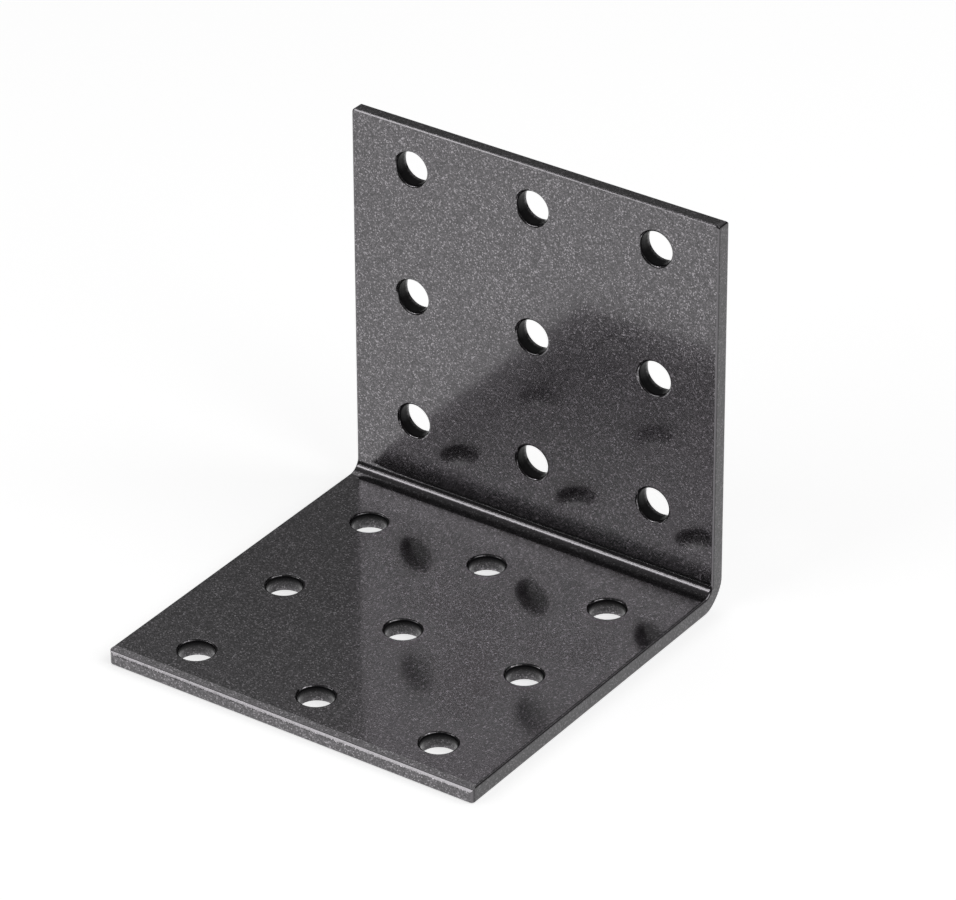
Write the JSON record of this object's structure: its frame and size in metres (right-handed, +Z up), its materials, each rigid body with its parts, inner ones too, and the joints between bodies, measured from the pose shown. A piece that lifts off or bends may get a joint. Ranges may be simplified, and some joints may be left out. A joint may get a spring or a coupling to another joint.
{
  "type": "corner brace bracket",
  "caption": "Right-angle corner brace folded from punched sheet steel, with a grid of screw holes in each leg and a dark coating with metallic flecks.",
  "frame": {"origin": "centre of the square that the bracket covers on the surface it lies on, at the level of the base's underside", "axes": "+Z up along the upright, +X along the fold, +Y from the base's free edge toward the upright"},
  "size_m": [0.06, 0.06, 0.06],
  "materials": {
    "coating": "glossy charcoal coating with fine silver flecks"
  },
  "bodies": {
    "root": {"bracket": "coating"}
  },
  "joints": []
}
